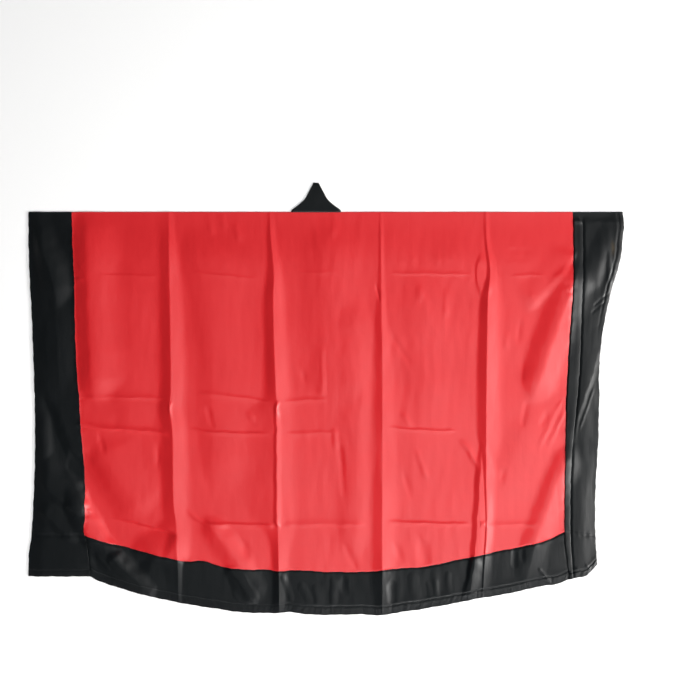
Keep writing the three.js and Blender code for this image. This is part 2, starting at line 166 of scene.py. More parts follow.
# The four packed creases, each a tent whose sides change on the way from the shoulder to the hem.
# columns, all in millimetres: length down, x, height, reach to the left, reach to the right
PACKED_CREASES = [
    [(-20, -500, 4.5, 40, 14), (50, -500, 5.5, 42, 24), (155, -498, 8, 44, 40),
     (370, -494, 10.8, 46, 52), (570, -490, 11.2, 48, 56), (625, -498, 11.2, 48, 56),
     (660, -492, 11.2, 48, 56), (705, -485, 11.2, 48, 58), (940, -485, 10.8, 50, 58),
     (990, -475, 9, 44, 56), (1030, -474, 11, 150, 56), (1070, -473, 13.5, 230, 56),
     (1100, -472, 12.5, 200, 50), (1125, -471, 6.4, 70, 20), (1160, -470, 4.4, 40, 16),
     (1305, -470, 4, 30, 14)],
    [(-20, -178, 3, 10, 18), (75, -176, 4.5, 16, 22), (200, -162, 7.5, 28, 34),
     (280, -168, 10.8, 40, 50), (590, -158, 10.8, 40, 56), (610, -152, 9, 70, 62),
     (630, -158, 8.8, 100, 64), (700, -155, 8.8, 120, 70), (985, -154, 8.4, 120, 70),
     (1020, -151, 6.6, 40, 60), (1120, -149, 8, 24, 40), (1305, -147, 12, 32, 24)],
    [(-20, 176, 1.8, 8, 12), (200, 178, 2.2, 10, 13), (300, 178, 3.6, 26, 20),
     (420, 181, 5.5, 36, 32), (600, 182, 7.6, 44, 56), (795, 181, 7.4, 50, 60),
     (1130, 181, 7.4, 48, 54), (1305, 181, 11, 30, 34)],
    [(-20, 512, 3, 12, 14), (100, 514, 3, 10, 14), (190, 528, 4.5, 12, 34),
     (260, 518, 8.5, 24, 48), (300, 516, 10.5, 32, 56), (600, 512, 11, 38, 60),
     (720, 512, 9.5, 36, 58), (780, 512, 4.6, 14, 50), (890, 512, 3, 7, 40),
     (1000, 516, 2.8, 6, 36), (1115, 507, 3, 6, 30), (1305, 498, 3.6, 6, 26)],
]

# Sharp creases, pressed in while the robe lay packed, each along its own line of points (x, down).
# The reaches are to the left and right of a line that runs down, and below and above a line that
# runs to the right. A negative height is a trough. A crease dies away over its fade at both ends.
# columns, all in millimetres: height, first reach, second reach, fade, one or more lines of points
CREASES = [
    # across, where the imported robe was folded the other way
    (0.8, 34, 8, 40, [(-730, 202), (-520, 205)]),
    (0.8, 20, 9, 40, [(-435, 192), (-320, 205), (-205, 214)]),
    (0.7, 14, 12, 30, [(-95, 195), (45, 195)]),
    (1.1, 11, 14, 40, [(195, 198), (335, 198), (475, 202)]),
    (1, 14, 12, 40, [(580, 205), (705, 202)]),
    (2, 12, 20, 40, [(-780, 592), (-505, 596)]),
    (1.8, 20, 10, 30, [(-410, 578), (-320, 586), (-250, 595), (-170, 608)]),
    (4.2, 8, 22, 30, [(-805, 678), (-755, 685), (-710, 693), (-595, 698), (-490, 712)]),
    (2.4, 12, 10, 30, [(-435, 690), (-370, 706), (-170, 710)]),
    (1.6, 16, 14, 40, [(-135, 605), (15, 598)], [(-135, 710), (45, 704)]),
    (2, 14, 9, 30, [(195, 688), (300, 698), (425, 700)]),
    (3.8, 14, 8, 20, [(-440, 950), (-410, 982), (-370, 998), (-275, 998), (-160, 1002)]),
    (2.6, 10, 30, 30, [(-140, 1002), (15, 998), (135, 1002)]),
    (3.6, 14, 9, 30, [(195, 990), (335, 995), (470, 998)]),
    (2.2, 12, 22, 40, [(515, 1002), (600, 998), (685, 1002)]),
    # short ones near the shoulder
    (1.8, 8, 8, 10, [(-790, 176), (-760, 182)], [(-795, 214), (-765, 218)]),
    (2.6, 12, 22, 20, [(-340, 0), (-320, 60)]),
    (3, 14, 26, 20, [(-382, 0), (-360, 78)]),
    (3, 14, 30, 20, [(-295, 30), (-275, 100)]),
    (1.4, 10, 10, 20, [(360, 16), (435, 32)]),
    (-1.2, 12, 10, 20, [(570, 128), (665, 122)]),
    (-1.2, 10, 10, 20, [(570, 150), (655, 144)]),
    (1.4, 10, 14, 30, [(277, 120), (280, 180)], [(357, 120), (360, 180)], [(402, 115), (405, 175)]),
    (2, 14, 22, 30, [(302, 225), (296, 300)], [(386, 235), (380, 345)]),
    # upright and slanting ones
    (2.4, 34, 8, 20, [(-7, 425), (-7, 595)]),
    (-2, 14, 14, 30, [(205, 385), (245, 448), (275, 500)], [(625, 335), (610, 430)]),
    (-2.6, 12, 12, 20, [(-75, 505), (-62, 550)]),
    (-2.4, 14, 14, 30, [(-722, 705), (-702, 785)], [(-536, 730), (-536, 825)],
     [(648, 595), (622, 698)], [(712, 627), (683, 698)]),
    (-3, 10, 14, 20, [(-382, 614), (-357, 698)]),
    (3, 12, 20, 20, [(-248, 634), (-230, 678)]),
    (2.8, 12, 20, 30, [(24, 678), (34, 768)]),
    (-2.4, 14, 16, 30, [(46, 730), (59, 920)]),
    (-3, 20, 20, 40, [(60, 1050), (78, 1108), (110, 1152)]),
    (3, 12, 18, 20, [(238, 640), (277, 690)]),
    (2.8, 12, 16, 30, [(286, 750), (309, 813), (328, 865)]),
    (-2.6, 12, 14, 30, [(245, 820), (277, 920)]),
    (-3, 20, 22, 30, [(215, 1050), (250, 1125)]),
    (3.4, 14, 24, 30, [(425, 723), (468, 780), (492, 825)]),
    (-2.2, 12, 14, 20, [(574, 813), (558, 870)]),
    # a dent at the third packed crease, and the nicks where creases cross
    (-3, 9, 10, 20, [(160, 230), (174, 288)]),
    (1.8, 10, 10, 10, [(490, 986), (517, 1008)], [(490, 1008), (517, 986)]),
    (2.2, 8, 12, 10, [(-165, 982), (-142, 1010)]),
    (2, 10, 10, 10, [(-488, 602), (-498, 625), (-488, 650)],
     [(-146, 602), (-158, 627), (-149, 653)]),
    (1.2, 8, 12, 10, [(-760, 947), (-744, 963)]),
    # the right side
    (2.4, 12, 10, 30, [(757, 595), (718, 672), (680, 755)], [(770, 627), (738, 690), (706, 762)]),
    (2, 10, 14, 20, [(648, 253), (667, 285)], [(580, 378), (574, 448)]),
    (-1.8, 12, 14, 20, [(635, 467), (622, 550)]),
    (2.4, 10, 12, 10, [(757, 253), (792, 243)], [(760, 278), (792, 272)]),
    # the right cuff band, and the right end of the hem band
    (1.6, 8, 8, 20, [(840, 32), (950, 32)]),
    (-2, 6, 8, 10, [(853, 304), (917, 250)]),
    (-1.6, 6, 8, 10, [(846, 326), (898, 282)]),
    (1.4, 8, 10, 30, [(862, 550), (837, 614), (808, 704)]),
    (2.6, 8, 12, 10, [(795, 1133), (827, 1152)]),
    (2.2, 8, 10, 10, [(827, 1120), (846, 1146)]),
    (3.4, 7, 14, 10, [(677, 1136), (728, 1197)]),
]

# Soft folds, in the same way. Their profile is one word, or one for each side.
# columns, in millimetres: height, first reach, second reach, fade, profile, lines of points
FOLDS = [
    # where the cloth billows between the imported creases
    (13, 60, 120, 100, "tent round", [(-765, -40), (-760, 155), (-755, 345), (-740, 625)]),
    (3, 70, 110, 160, "round", [(-630, 120), (-625, 410), (-620, 760)]),
    (4.6, 70, 150, 140, "round", [(-445, 30), (-400, 160), (-365, 315), (-345, 600), (-340, 920)]),
    (5, 110, 120, 140, "round", [(15, -20), (20, 280), (25, 665)]),
    (4, 70, 60, 120, "round", [(100, 250), (105, 600), (100, 920), (80, 1145)]),
    (3.4, 80, 110, 160, "round", [(295, 140), (315, 380), (330, 700)]),
    (2.8, 20, 20, 30, "round", [(25, -20), (35, 30), (15, 90)]),
    (-3.6, 26, 26, 40, "round", [(300, 1035), (330, 1145)]),
    (-2.4, 20, 24, 40, "round", [(-275, 1035), (-240, 1115)]),
    # along the second packed crease, and where the fourth was pinched, at the top and lower down
    (2.6, 12, 20, 40, "tent", [(-155, 600), (-155, 1018)]),
    (2.4, 9, 50, 30, "tent round", [(504, 128), (480, 180), (485, 230), (507, 285)]),
    (6.4, 20, 60, 100, "tent round",
     [(500, 730), (493, 826), (488, 922), (483, 995), (478, 1085), (460, 1235), (446, 1340)]),
    # the lower left corner: a steep slanting rise beside a broad ridge, and a sunken wedge
    (-9.5, 44, 80, 60, "round tent",
     [(-820, 755), (-780, 825), (-745, 890), (-710, 955), (-675, 1010), (-630, 1070),
      (-570, 1170)]),
    (4.4, 60, 130, 60, "tent round",
     [(-735, 730), (-690, 815), (-650, 875), (-605, 935), (-570, 980)]),
    (9.5, 44, 56, 80, "round",
     [(-820, 870), (-790, 965), (-745, 1035), (-685, 1120), (-600, 1215), (-550, 1285)]),
    (-10.5, 110, 9, 40, "tent", [(-718, 982), (-632, 994), (-562, 1010), (-466, 1032)]),
    # beside the foot of the first packed crease
    (8.5, 54, 56, 60, "tent round",
     [(-385, 965), (-340, 1045), (-285, 1115), (-245, 1180), (-205, 1260)]),
    # the right side: a steep slanting step, a long ridge beside it and a shorter one below
    (4, 80, 22, 50, "round tent", [(805, 115), (763, 180), (722, 230), (680, 275), (642, 325)]),
    (12.5, 78, 80, 90, "round tent",
     [(820, 145), (790, 225), (765, 300), (740, 370), (720, 425), (700, 485), (680, 550),
      (650, 620)]),
    (2.6, 70, 120, 120, "round", [(685, 600), (635, 730), (585, 840), (525, 960)]),
    (7.8, 56, 60, 80, "round tent",
     [(800, 730), (775, 785), (745, 850), (720, 910), (700, 975), (675, 1035), (655, 1115),
      (635, 1210)]),
    # the left cuff band
    (12, 60, 70, 80, "tent round",
     [(-965, -50), (-935, 50), (-905, 130), (-870, 205), (-855, 320)]),
    (5, 60, 80, 140, "tent round", [(-870, 250), (-855, 410), (-850, 600)]),
    (8.5, 30, 60, 80, "tent round", [(-926, 590), (-920, 825)]),
    (-7, 70, 40, 70, "round tent", [(-905, 565), (-870, 690), (-830, 780), (-780, 865)]),
    (5.6, 22, 90, 30, "tent round",
     [(-952, 826), (-900, 874), (-856, 915), (-811, 947), (-747, 957)]),
    (5, 24, 80, 40, "tent round", [(-926, 940), (-866, 992), (-792, 1066)]),
    # the right cuff band
    (4, 46, 46, 60, "round", [(945, -20), (900, 90), (855, 180), (825, 270)]),
    (1.6, 10, 12, 30, "round", [(904, 120), (907, 280)]),
    (0.7, 6, 8, 20, "round", [(923, 120), (920, 250)]),
    (2.2, 50, 18, 60, "tent",
     [(894, 345), (875, 440), (846, 538), (818, 614), (792, 685), (776, 768)]),
    (1.6, 40, 90, 100, "round", [(820, 825), (820, 985), (815, 1165)]),
    # streaks in the hem band, which was pulled about as it was laid down
    (10, 34, 40, 30, "tent round", [(-695, 1090), (-638, 1146), (-542, 1235)]),
    (6.4, 30, 38, 30, "tent round", [(-318, 1126), (-274, 1184), (-222, 1260)]),
    (2, 20, 22, 30, "round", [(-645, 1094), (-600, 1146), (-555, 1190)]),
    (1.4, 10, 12, 20, "round", [(-735, 1088), (-683, 1150)]),
    (2, 16, 20, 20, "round", [(-306, 1165), (-270, 1248)]),
    (1.8, 14, 16, 20, "round", [(-139, 1152), (-104, 1248)]),
    (2, 18, 18, 20, "round", [(-82, 1178), (-43, 1260)]),
    (2.4, 16, 34, 20, "round", [(-34, 1184), (-24, 1265)]),
    (2.2, 12, 22, 20, "round", [(21, 1162), (24, 1265)]),
    (-2, 18, 18, 20, "round", [(56, 1158), (66, 1235)]),
    (-2.4, 18, 20, 20, "round", [(210, 1170), (213, 1260)]),
    (2.6, 20, 26, 20, "round", [(277, 1146), (286, 1258)]),
    (1.2, 10, 12, 10, "round", [(325, 1178), (338, 1248)], [(347, 1170), (360, 1242)]),
    (1.4, 12, 14, 10, "round", [(389, 1146), (398, 1230)]),
    (6, 14, 40, 30, "tent round", [(475, 1088), (459, 1162), (440, 1248)]),
    (-2, 14, 14, 20, "round", [(600, 1070), (606, 1146)]),
    (-1.8, 12, 12, 20, "round", [(626, 1066), (632, 1124)]),
]
FOLDS_AND_CREASES = [(*row[:4], "pressed", row[4:]) for row in CREASES] + [
    (*row[:5], row[5:]) for row in FOLDS]

MM = 0.001
PUFF, PUFF_LENGTH = 0.0076, 0.17   # how far the cloth rises from the shoulder fold, and by where
FOLDS_FORM_BY = 0.12         # length down the robe by which the folds have their whole height
AT_SHOULDER = 0.45           # share of a fold's height that is left at the shoulder fold
AT_HEM = 0.60                # and at the lower edge, where the bands' double cloth is stiffer
HEM_STIFFENS = -0.02, 0.10   # from and to these lengths below the seam of the hem band
AT_EDGES = 0.0, 0.6, 0.5     # share left at the left, the right and the lower edge
EDGE_EASE = -0.012, 0.050    # the cloth comes down to the floor from here inside an edge to here
CREASE_UNEVEN = 0.10         # share by which a packed crease's height varies along it
CREASE_PACES = 17.0, 7.3     # of the two waves of that, in radians a metre
WANDER = 0.0012              # how far a fold strays from its line, or this share of its narrower
WANDER_SHARE = 0.1           # reach where that is less
WANDER_PACES = 62.0, 141.0
FOLD_END_WIDTH = 0.4         # share of a fold's width that is left at its ends
BILLOW_SEED = 4
BILLOWS, BILLOW_HEIGHT = 14, 0.0012        # of the faint unevenness all over
BILLOW_PITCH = 0.12, 0.34                  # shortest and longest
RIPPLES, RIPPLE_HEIGHT = 12, 0.0008        # of the long upright ripples of limp cloth
RIPPLE_PITCH = 0.022, 0.060
RIPPLE_BENDS, RIPPLE_SWAY = (0.10, 0.35), 1.6      # pitch of their bends, and radians to each side
RIPPLES_ALL_OVER = 0.35                    # share of their height that they have everywhere
RIPPLE_PLACES = [(0.03, 0.10), (0.32, 0.10), (0.90, 0.05)]  # x and half width of the tall ones
ANY_PHASE = 6.28
SEAM_PUCKER, SEAM_PUCKER_HALF = 0.0005, 0.011
LEFT_SEAM_CHANGES = 1.0, 1.04              # lengths down the robe
SOFT_LANDING = 0.0012        # height from the floor at which the cloth begins to rest on it


def soften(points):
    """A line of points given in millimetres, now in metres, with its corners cut three times at a
    quarter of each stretch."""
    points = np.array(points, float) * MM
    for _ in range(3):
        near, far = points[:-1], points[1:]
        cut = np.stack([near * 0.75 + far * 0.25, near * 0.25 + far * 0.75], axis=1)
        points = np.concatenate([points[:1], cut.reshape(-1, points.shape[1]), points[-1:]])
    return points


def bells(place, middles_and_halves):
    """The sum of a bell, exp(-t²), around each middle, with t the share of its half width."""
    return sum(np.exp(-((place - middle) / half) ** 2) for middle, half in middles_and_halves)


def beside_line(x, down, points):
    """For each place (x, down), its distance to one side of a line of points, minus on the other
    side, and the length along the line to the nearest point of it."""
    start, run = points[:-1], np.diff(points, axis=0)
    lengths = np.hypot(run[:, 0], run[:, 1])
    gone = np.concatenate([[0.0], np.cumsum(lengths)[:-1]])
    dx, dd = x[:, None] - start[:, 0], down[:, None] - start[:, 1]
    share = np.clip((dx * run[:, 0] + dd * run[:, 1]) / lengths**2, 0.0, 1.0)
    away = np.hypot(dx - share * run[:, 0], dd - share * run[:, 1])
    nearest = np.argmin(away, axis=1)
    rows = np.arange(len(x))
    side = np.sign(dx * run[:, 1] - dd * run[:, 0])[rows, nearest]
    along = gone[nearest] + share[rows, nearest] * lengths[nearest]
    return away[rows, nearest] * side, along, lengths.sum()


def fold_profile(aside, first, second, profile):
    """Height across a fold, 1 on its line and 0 at its reaches, with s the share of the reach: a
    pressed crease is (1 - s)², a round fold is (1 - s²)², and a tent runs straight down for six
    tenths of its reach and then levels out in a parabola. Two words name the fold's two sides."""
    s = np.minimum(np.abs(aside) / np.where(aside < 0.0, first, second), 1.0)
    shapes = {"pressed": (1.0 - s) ** 2, "round": (1.0 - s * s) ** 2,
              "tent": np.where(s < 0.6, 1.0 - 1.25 * s, 1.5625 * (1.0 - s) ** 2)}
    sides = profile.split()
    return np.where(aside < 0.0, shapes[sides[0]], shapes[sides[-1]])


def crease_x(index, down):
    """x of a packed crease at a length down the robe."""
    rows = soften(PACKED_CREASES[index])
    return np.interp(down, rows[:, 0], rows[:, 1])


def seam_relief(x, down):
    """How the seams lie: the left one stands up in a narrow ridge, and in a wider one beside it in
    the hem band, the right one and the one above the hem band sink, and the thread draws them into
    small puckers, waves along the seam that die away in a bell beside it."""
    left_seam = x - line_at("left seam", down)
    in_hem_band = smoothstep(down, *LEFT_SEAM_CHANGES)
    height = np.zeros(len(x))
    # columns: distance to the side of the seam, place along it, height, reaches to its two sides
    for aside, along, edge, first, second in [
            (left_seam, down, 0.0005 * (1 - in_hem_band), 0.003, 0.005),
            (left_seam - 0.006, down, 0.0012 * in_hem_band, 0.006, 0.020),
            (x - line_at("right seam", down), down, -0.0003, 0.008, 0.004),
            (down - hem_seam(x), x, -0.0020, 0.0015, 0.007)]:
        height += edge * fold_profile(aside, first, second, "round")
        waves = np.sin(along * 260.0 + 3 * np.sin(along * 31.0)) + np.sin(along * 143.0)
        height += SEAM_PUCKER / 2 * waves * bells(aside, [(0.0, SEAM_PUCKER_HALF)])
    return height


def limpness(x, down):
    """The faint unevenness of limp cloth: a billow made of waves that cross at random angles, and
    upright ripples, waves across the robe whose lines bend to and fro and which fade in patches."""
    rng = np.random.default_rng(BILLOW_SEED)
    height = np.zeros(len(x))
    low, high = zip((0, np.pi), BILLOW_PITCH, (0, ANY_PHASE))
    for _ in range(BILLOWS):
        angle, pitch, phase = rng.uniform(low, high)
        wave = (x * np.cos(angle) + down * np.sin(angle)) * 2 * np.pi / pitch + phase
        height += BILLOW_HEIGHT / BILLOWS * 2.0 * np.sin(wave)
    tall = RIPPLES_ALL_OVER + (1 - RIPPLES_ALL_OVER) * bells(x, RIPPLE_PLACES)
    low, high = zip(RIPPLE_PITCH, RIPPLE_BENDS, *[(0, ANY_PHASE)] * 3)
    for _ in range(RIPPLES):
        pitch, turn, *phase = rng.uniform(low, high)
        sway = RIPPLE_SWAY * np.sin(down * 2 * np.pi / turn + phase[1])
        patchy = 0.5 + 0.5 * np.sin(down * 9.0 + x * 7.0 + phase[2])
        ripple = np.sin(x * 2 * np.pi / pitch + phase[0] + sway)
        height += RIPPLE_HEIGHT / RIPPLES * 2.0 * tall * patchy * ripple
    return height


def add_fold(height, x, down, sizes, profile, line):
    """Adds a fold to the height at the places (x, down) that it reaches. It wanders from its line
    in two waves, and narrows towards its ends, where it fades."""
    rise, first, second, fade = sizes
    low, high = line.min(axis=0) - max(first, second), line.max(axis=0) + max(first, second)
    near = np.flatnonzero((x > low[0]) & (x < high[0]) & (down > low[1]) & (down < high[1]))
    aside, along, length = beside_line(x[near], down[near], line)
    phase = 40.0 * line[0].sum()
    long_wave, short_wave = (np.sin(along * pace + ahead * phase)
                             for pace, ahead in zip(WANDER_PACES, (1, 2)))
    wander = min(WANDER, WANDER_SHARE * min(first, second))
    aside = aside + wander * (long_wave + 0.6 * short_wave)
    fading = smoothstep(along, 0.0, fade) * smoothstep(length - along, 0.0, fade)
    narrowing = FOLD_END_WIDTH + (1 - FOLD_END_WIDTH) * fading
    height[near] += rise * fading * fold_profile(aside / narrowing, first, second, profile)


def lift(x, down):
    """How high the cloth stands off the floor at (x, down), on top of its own layers: the packed
    creases, the folds, the limpness and the seams. Where they would take it under the floor, it
    comes to rest just on it: half of h plus the root of h² and a small square."""
    shape = np.broadcast(x, down).shape
    x, down = (np.broadcast_to(a, shape).ravel() for a in (x, down))
    height = np.zeros(len(x))
    for index, rows in enumerate(PACKED_CREASES):
        rows = soften(rows)
        rise, left, right = (np.interp(down, rows[:, 0], rows[:, k]) for k in (2, 3, 4))
        first_wave, second_wave = (np.sin(down * pace + index * ahead)
                                   for pace, ahead in zip(CREASE_PACES, (2.1, 1.0)))
        rise *= 1.0 + CREASE_UNEVEN * first_wave * second_wave
        height += rise * fold_profile(x - crease_x(index, down), left, right, "tent")
    for *sizes, profile, lines in FOLDS_AND_CREASES:
        for points in lines:
            add_fold(height, x, down, np.array(sizes) * MM, profile, soften(points))
    height *= AT_SHOULDER + (1 - AT_SHOULDER) * smoothstep(down, -0.01, FOLDS_FORM_BY)
    height *= 1 - (1 - AT_HEM) * smoothstep(down - hem_seam(x), *HEM_STIFFENS)
    height += PUFF * smoothstep(down, -0.01, PUFF_LENGTH)
    insides = x - line_at("left edge", down), line_at("right edge", down) - x, hem_edge(x) - down
    for inside, left_over in zip(insides, AT_EDGES):
        height *= left_over + (1 - left_over) * smoothstep(inside, *EDGE_EASE)
    height += limpness(x, down) + seam_relief(x, down)
    return ((height + np.sqrt(height**2 + SOFT_LANDING**2)) / 2).reshape(shape)


def crowded(start, end, count, marks, width, closeness):
    """Places from start to end, as many as count, which crowd near the marks: their density is 1
    plus closeness times a bell of this width at each mark. One more place just inside each end
    keeps the rounding of the cloth's edge narrow."""
    fine = np.linspace(start, end, 6001)
    density = 1.0 + closeness * bells(fine, [(mark, width) for mark in marks])
    gone = np.concatenate([[0.0], np.cumsum((density[1:] + density[:-1]) / 2)])
    places = np.interp(np.linspace(0.0, gone[-1], count), gone, fine)
    return np.concatenate([[start, start + EDGE_ROUND], places[1:-1], [end - EDGE_ROUND, end]])


def following(at_shoulder, down, lines):
    """x of columns given by their x at the shoulder. Each keeps its share of the way between the
    two lines that it lies between, where a line is a function from length down to x."""
    starts = np.array([float(line(0.0)) for line in lines])
    moved = [line(down) - start for line, start in zip(lines, starts)]
    shift = np.zeros(np.broadcast(at_shoulder, down).shape)
    for index in range(len(lines) - 1):
        a, b = starts[index], starts[index + 1]
        inside = (at_shoulder >= a) & ((at_shoulder < b) | (index == len(lines) - 2))
        share = np.clip((at_shoulder - a) / (b - a), 0.0, 1.0)
        shift += np.where(inside, moved[index] * (1 - share) + moved[index + 1] * share, 0.0)
    return at_shoulder + shift


def lie(columns, rows, lines):
    """x and length down of a piece that lies flat, one row of the arrays for each of its rows.
    Each row bends with the hem below the straight part of the robe."""
    at, down = np.meshgrid(columns, rows)
    length = length_at(following(at, down, lines), down)
    return following(at, length, lines), length


def wall(name, centre, flat, outwards=1.0, doubled=0.0):
    """A closed wall of cloth through a grid of the points of its middle, half its thickness to
    either side. Its outer face is on the side that the columns' direction and the rows' turn
    towards by the right hand, or the other side if outwards is -1. flat is where each point lay
    in the flat cloth, and becomes the UV map. doubled is the thickness that a turned edge adds."""
    rows, columns = centre.shape[:2]
    normal = np.cross(np.gradient(centre, axis=0), np.gradient(centre, axis=1)) * outwards
    normal /= np.linalg.norm(normal, axis=-1, keepdims=True)
    half = normal * (CLOTH + np.zeros((rows, columns)) + doubled)[..., None] / 2
    points = np.concatenate([(centre + half).reshape(-1, 3), (centre - half).reshape(-1, 3)])
    top = np.arange(rows * columns).reshape(rows, columns)
    under = top + rows * columns

    def quads(a, b, c, d):
        return np.stack([a.ravel(), b.ravel(), c.ravel(), d.ravel()], axis=-1)

    faces = np.concatenate([
        quads(top[:-1, :-1], top[1:, :-1], top[1:, 1:], top[:-1, 1:]),
        quads(under[:-1, :-1], under[:-1, 1:], under[1:, 1:], under[1:, :-1]),
        quads(top[:-1, 0], under[:-1, 0], under[1:, 0], top[1:, 0]),
        quads(top[:-1, -1], top[1:, -1], under[1:, -1], under[:-1, -1]),
        quads(top[0, :-1], top[0, 1:], under[0, 1:], under[0, :-1]),
        quads(top[-1, :-1], under[-1, :-1], under[-1, 1:], top[-1, 1:]),
    ])
    if outwards < 0:
        faces = faces[:, ::-1]
    return mesh_piece(name, points, faces, np.concatenate([flat.reshape(-1, 2)] * 2))


def mesh_piece(name, points, faces, flat):
    """A smooth-shaded object from arrays of points, four-sided faces and a UV for each point."""
    mesh = bpy.data.meshes.new(name)
    mesh.vertices.add(len(points))
    mesh.vertices.foreach_set("co", points.ravel())
    mesh.loops.add(faces.size)
    mesh.loops.foreach_set("vertex_index", faces.ravel())
    mesh.polygons.add(len(faces))
    mesh.polygons.foreach_set("loop_start", np.arange(0, faces.size, 4))
    mesh.update(calc_edges=True)
    mesh.shade_smooth()
    mesh.uv_layers.new(name="cut").data.foreach_set("uv", flat[faces.ravel()].ravel())
    piece = bpy.data.objects.new(name, mesh)
    scene.collection.objects.link(piece)
    return piece


def surface(x, length, level):
    """The points of the middle of a cloth that lies at a level, lifted onto the folds."""
    return np.stack([x, SHOULDER_Y - length, level + lift(x, length)], axis=-1)


def new_group(name, inputs, outputs):
    """An empty shader node group. Inputs are (name, type, value) and outputs (name, type)."""
    group = bpy.data.node_groups.new(name, "ShaderNodeTree")
    for label, kind, value in inputs:
        socket = group.interface.new_socket(label, in_out="INPUT", socket_type="NodeSocket" + kind)
        if value is not None:
            socket.default_value = value
    for label, kind in outputs:
        group.interface.new_socket(label, in_out="OUTPUT", socket_type="NodeSocket" + kind)
    return group, group.nodes.new("NodeGroupInput"), group.nodes.new("NodeGroupOutput")


def node(tree, kind, links=(), **settings):
    """A new shader node with its settings, and its inputs linked or set by name or number."""
    made = tree.nodes.new("ShaderNode" + kind)
    for key, value in settings.items():
        setattr(made, key, value)
    for key, value in dict(links).items():
        if isinstance(value, bpy.types.NodeSocket):
            tree.links.new(value, made.inputs[key])
        else:
            made.inputs[key].default_value = value
    return made


# Satin: threads that float along the cloth, thicker threads here and there, and small crinkles.
THREAD_HEIGHT, CRINKLE_HEIGHT, LIMP_HEIGHT = 0.000012, 0.00035, 0.00040
SLUB_SHADE = 0.20            # how much a thick thread shades the cloth, beside its broad mottling
ROUGHNESS_RANGE = 0.10

satin, given, made = new_group(
    "satin weave",
    [("Cut", "Vector", None), ("Colour", "Color", (0.5, 0.5, 0.5, 1.0)),
     ("Roughness", "Float", 0.5), ("Uneven", "Float", 0.05)],
    [("Color", "Color"), ("Roughness", "Float"), ("Height", "Float")])


def stretched_noise(tree, cut, across, along, detail):
    """Noise whose patches are `across` metres wide and `along` metres long."""
    scaled = node(tree, "VectorMath", {0: cut, 1: (1 / across, 1 / along, 1.0)},
                  operation="MULTIPLY")
    return node(tree, "TexNoise", {"Vector": scaled.outputs[0], "Scale": 1.0, "Detail": detail,
                                   "Roughness": 0.5}).outputs["Fac"]


def maths(tree, operation, *values):
    """One sum of two or three values."""
    return node(tree, "Math", enumerate(values), operation=operation).outputs[0]


def set_inputs(shader, **values):
    """Sets inputs of a shader node, named with underscores for spaces. A colour has three parts."""
    for name, value in values.items():
        value = (*value, 1.0) if isinstance(value, tuple) else value
        shader.inputs[name.replace("_", " ")].default_value = value


cut = given.outputs["Cut"]
floats = stretched_noise(satin, cut, 0.0004, 0.0030, 1.0)
slubs_down = stretched_noise(satin, cut, 0.0022, 0.180, 2.0)
slubs_across = stretched_noise(satin, cut, 0.240, 0.0026, 2.0)
mottle = stretched_noise(satin, cut, 0.110, 0.110, 3.0)
crinkle = stretched_noise(satin, cut, 0.022, 0.030, 2.5)
limp = stretched_noise(satin, cut, 0.016, 0.120, 3.0)
slubs = maths(satin, "ADD", slubs_down, slubs_across)
shade = maths(satin, "ADD", maths(satin, "MULTIPLY", slubs, SLUB_SHADE), mottle)
shade = maths(satin, "SUBTRACT", shade, (1 + 2 * SLUB_SHADE) / 2)    # less its own average
gain = maths(satin, "MULTIPLY_ADD", shade, given.outputs["Uneven"], 1.0)
tinted = node(satin, "VectorMath", {0: given.outputs["Colour"], "Scale": gain}, operation="SCALE")
satin.links.new(tinted.outputs[0], made.inputs["Color"])
rough = maths(satin, "MULTIPLY_ADD", maths(satin, "SUBTRACT", mottle, 0.5), ROUGHNESS_RANGE,
              given.outputs["Roughness"])
satin.links.new(rough, made.inputs["Roughness"])
height = maths(satin, "MULTIPLY", floats, THREAD_HEIGHT)
for noise, stands in [(slubs, THREAD_HEIGHT), (crinkle, CRINKLE_HEIGHT), (limp, LIMP_HEIGHT)]:
    height = maths(satin, "MULTIPLY_ADD", noise, stands, height)
satin.links.new(height, made.inputs["Height"])


def satin_cloth(name, colour, roughness, specular, sheen, sheen_tint, uneven):
    """A satin material. Its own sheen is bright where the cloth is seen at a slant."""
    material = bpy.data.materials.new(name)
    material.use_nodes = True
    tree = material.node_tree
    shader = tree.nodes["Principled BSDF"]
    set_inputs(shader, Specular_IOR_Level=specular, Sheen_Weight=sheen, Sheen_Roughness=0.4,
               Sheen_Tint=sheen_tint)
    uv = node(tree, "UVMap", uv_map="cut")
    weave = tree.nodes.new("ShaderNodeGroup")
    weave.node_tree = satin
    tree.links.new(uv.outputs["UV"], weave.inputs["Cut"])
    set_inputs(weave, Colour=colour, Roughness=roughness, Uneven=uneven)
    bump = node(tree, "Bump", {"Strength": 1.0, "Distance": 1.0, "Height": weave.outputs["Height"]})
    tree.links.new(weave.outputs["Color"], shader.inputs["Base Color"])
    tree.links.new(weave.outputs["Roughness"], shader.inputs["Roughness"])
    tree.links.new(bump.outputs["Normal"], shader.inputs["Normal"])
    return material


